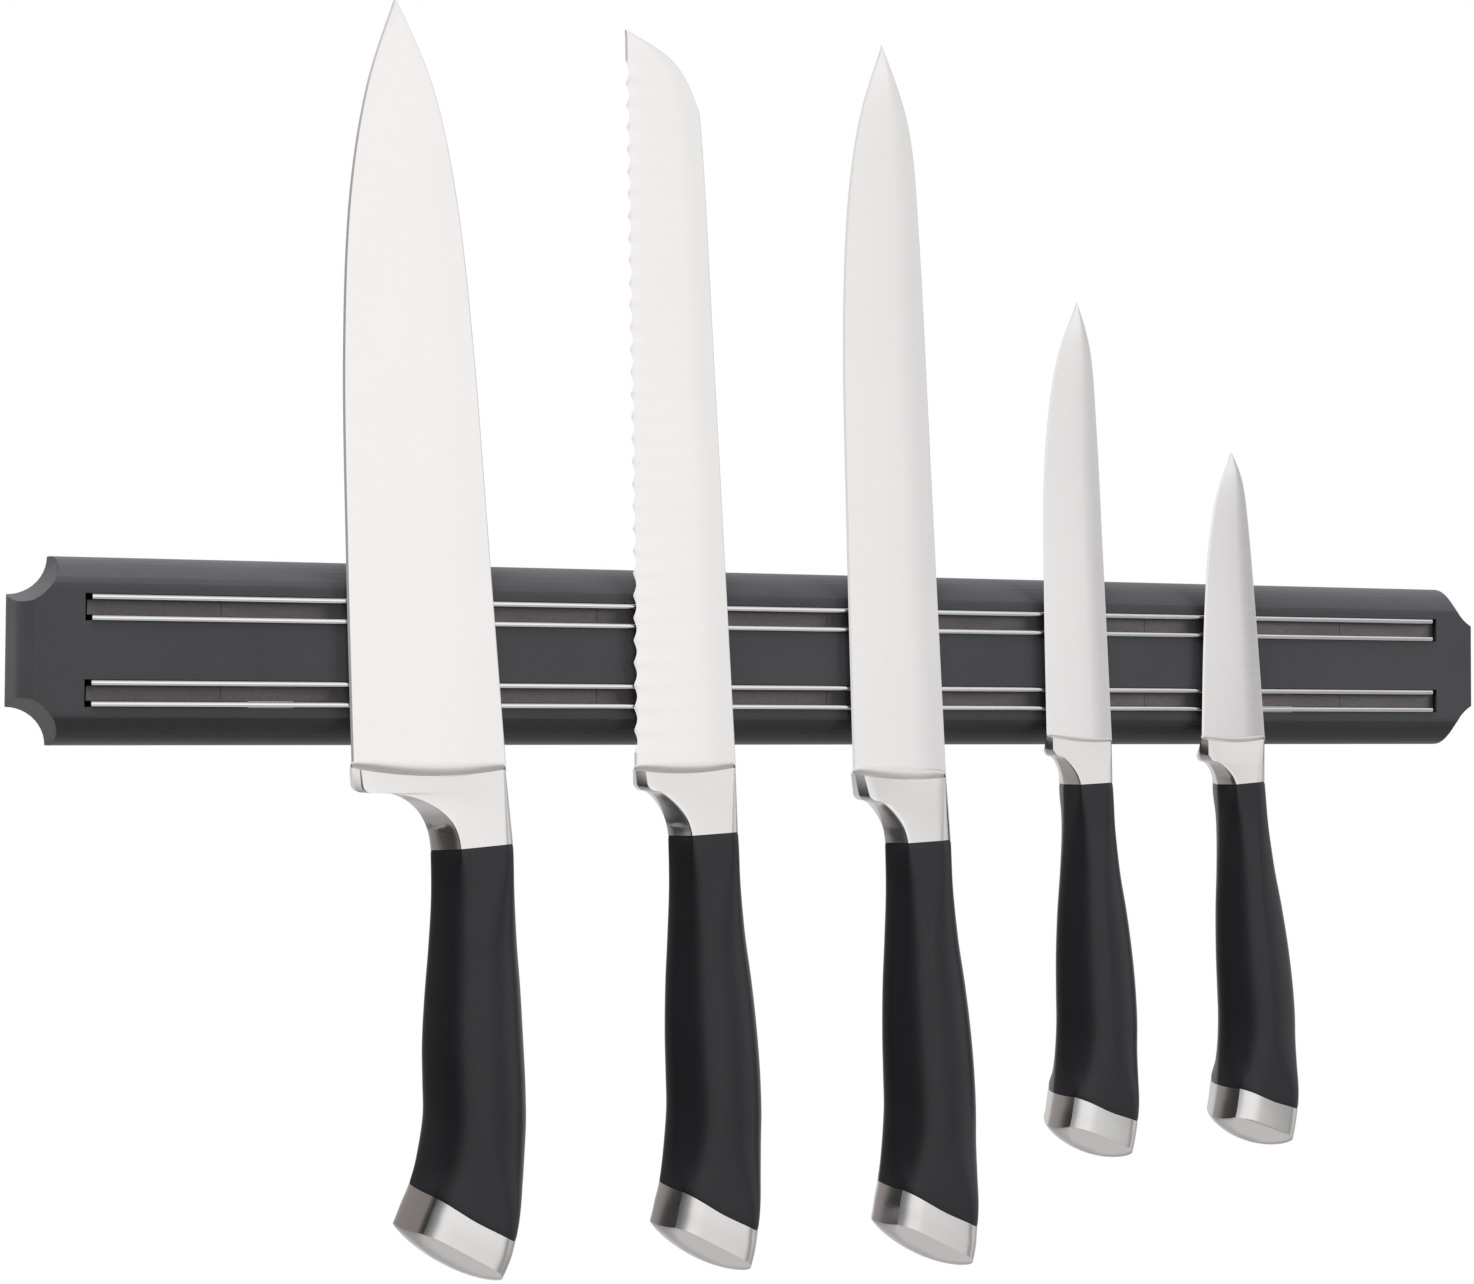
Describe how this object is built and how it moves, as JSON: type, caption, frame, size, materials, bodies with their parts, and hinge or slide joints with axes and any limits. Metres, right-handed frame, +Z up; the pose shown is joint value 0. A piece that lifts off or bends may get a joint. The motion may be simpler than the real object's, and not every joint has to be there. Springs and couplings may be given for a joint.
{
  "type": "knife magnetic rack",
  "caption": "Long wall-mounted magnetic bar with paired steel rails, holding kitchen knives that pull off towards the user.",
  "frame": {"origin": "centre of the wall bracket's back face, on the wall plane", "axes": "+X along the rack to the user's right, +Y into the wall, +Z up"},
  "size_m": [0.432, 0.0598, 0.3398],
  "materials": {
    "bracket_steel": "zinc-plated",
    "screw_steel": "zinc-plated",
    "plug_nylon": "matte",
    "housing_plastic": "satin",
    "cover_plastic": "matte",
    "rail_steel": "polished",
    "magnet_ferrite": "matte",
    "blade_steel": "satin",
    "bolster_steel": "satin",
    "grip_polymer": "satin",
    "cap_steel": "brushed"
  },
  "bodies": {
    "wall_mount": {"wall_bracket": "bracket_steel", "wall_screws": "screw_steel", "wall_plugs": "plug_nylon"},
    "rack": {"front_housing": "housing_plastic", "rear_cover": "cover_plastic", "cover_screws": "screw_steel", "upper_rail_top": "rail_steel", "upper_rail_bottom": "rail_steel", "lower_rail_top": "rail_steel", "lower_rail_bottom": "rail_steel", "upper_magnets": "magnet_ferrite", "lower_magnets": "magnet_ferrite"},
    "chef_knife": {"chef_blade": "blade_steel", "chef_bolster": "bolster_steel", "chef_grip": "grip_polymer", "chef_butt_cap": "cap_steel"},
    "bread_knife": {"bread_blade": "blade_steel", "bread_bolster": "bolster_steel", "bread_grip": "grip_polymer", "bread_butt_cap": "cap_steel"},
    "carving_knife": {"carving_blade": "blade_steel", "carving_bolster": "bolster_steel", "carving_grip": "grip_polymer", "carving_butt_cap": "cap_steel"},
    "utility_knife": {"utility_blade": "blade_steel", "utility_bolster": "bolster_steel", "utility_grip": "grip_polymer", "utility_butt_cap": "cap_steel"},
    "paring_knife": {"paring_blade": "blade_steel", "paring_bolster": "bolster_steel", "paring_grip": "grip_polymer", "paring_butt_cap": "cap_steel"}
  },
  "joints": [
    {"name": "rack_lift_off", "type": "slide", "parent": "wall_mount", "child": "rack", "axis": [0, 0, 1], "range_m": [0, 0.0085]},
    {"name": "chef_pull_off", "type": "slide", "parent": "rack", "child": "chef_knife", "axis": [0, -1, 0], "range_m": [0, 0.08]},
    {"name": "bread_pull_off", "type": "slide", "parent": "rack", "child": "bread_knife", "axis": [0, -1, 0], "range_m": [0, 0.08]},
    {"name": "carving_pull_off", "type": "slide", "parent": "rack", "child": "carving_knife", "axis": [0, -1, 0], "range_m": [0, 0.08]},
    {"name": "utility_pull_off", "type": "slide", "parent": "rack", "child": "utility_knife", "axis": [0, -1, 0], "range_m": [0, 0.08]},
    {"name": "paring_pull_off", "type": "slide", "parent": "rack", "child": "paring_knife", "axis": [0, -1, 0], "range_m": [0, 0.08]}
  ]
}
